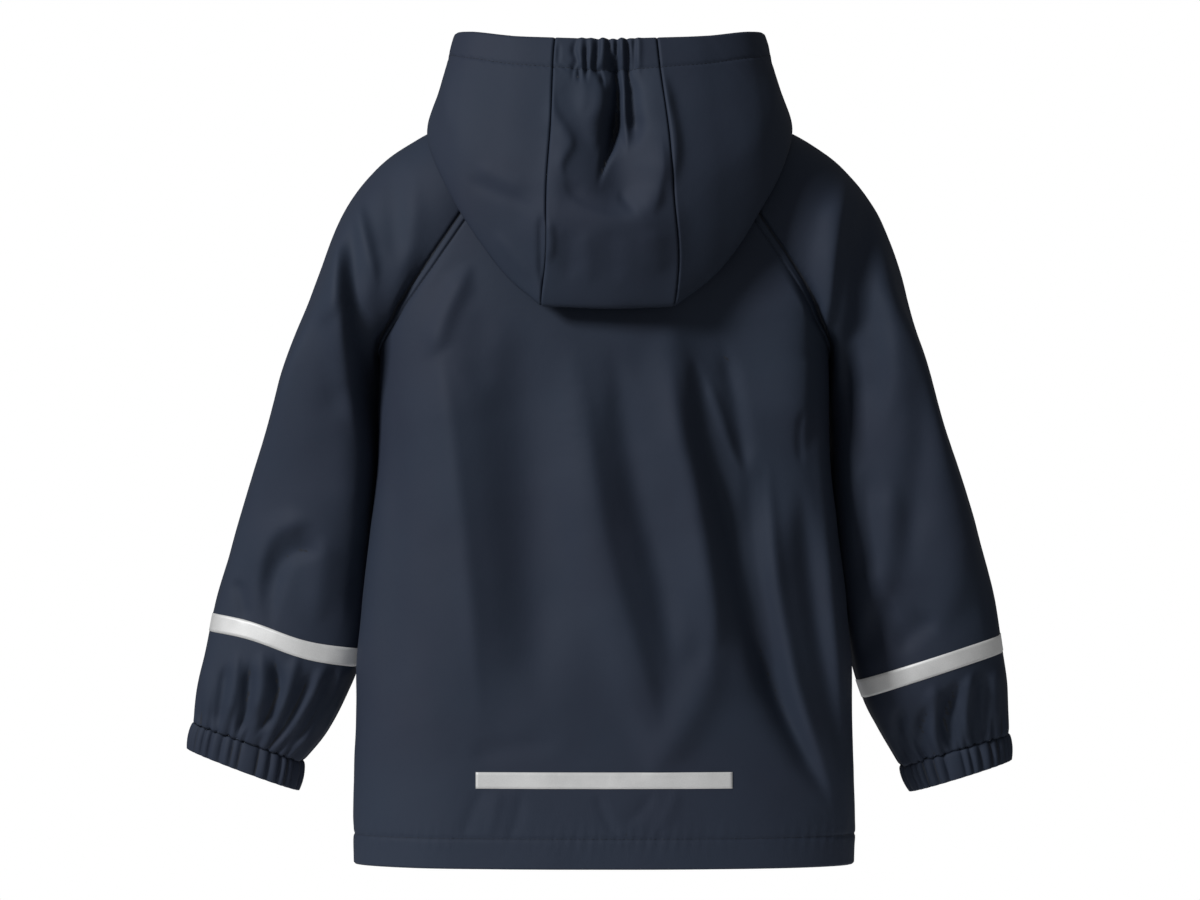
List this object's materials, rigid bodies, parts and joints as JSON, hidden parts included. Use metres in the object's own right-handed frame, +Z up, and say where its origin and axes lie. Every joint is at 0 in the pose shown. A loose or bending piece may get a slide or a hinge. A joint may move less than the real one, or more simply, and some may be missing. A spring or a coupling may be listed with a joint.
{
  "type": "kids raincoat",
  "caption": "Child's hooded rain jacket with raglan sleeves, elastic cuffs and reflective tape, filled out as worn, hood down the back.",
  "frame": {"origin": "middle of the neck opening, level with the nape seam", "axes": "+Z up, the coat's front faces -Y, +X is the wearer's left"},
  "size_m": [0.6649, 0.202, 0.6618],
  "materials": {
    "raincloth": "smooth coated rain cloth with a soft satin sheen",
    "reflective_tape": "silver-grey retroreflective tape, finely grained",
    "snap_plastic": "satin press-stud cap"
  },
  "bodies": {
    "root": {"back_panel": "raincloth", "front_left": "raincloth", "front_right": "raincloth", "sleeve_left": "raincloth", "sleeve_right": "raincloth", "cuff_left": "raincloth", "cuff_right": "raincloth", "hood_centre": "raincloth", "hood_left": "raincloth", "hood_right": "raincloth", "tape_sleeve_left": "reflective_tape", "tape_sleeve_right": "reflective_tape", "tape_back": "reflective_tape", "snap_1": "snap_plastic", "snap_2": "snap_plastic", "snap_3": "snap_plastic", "snap_4": "snap_plastic", "snap_5": "snap_plastic"}
  },
  "joints": []
}
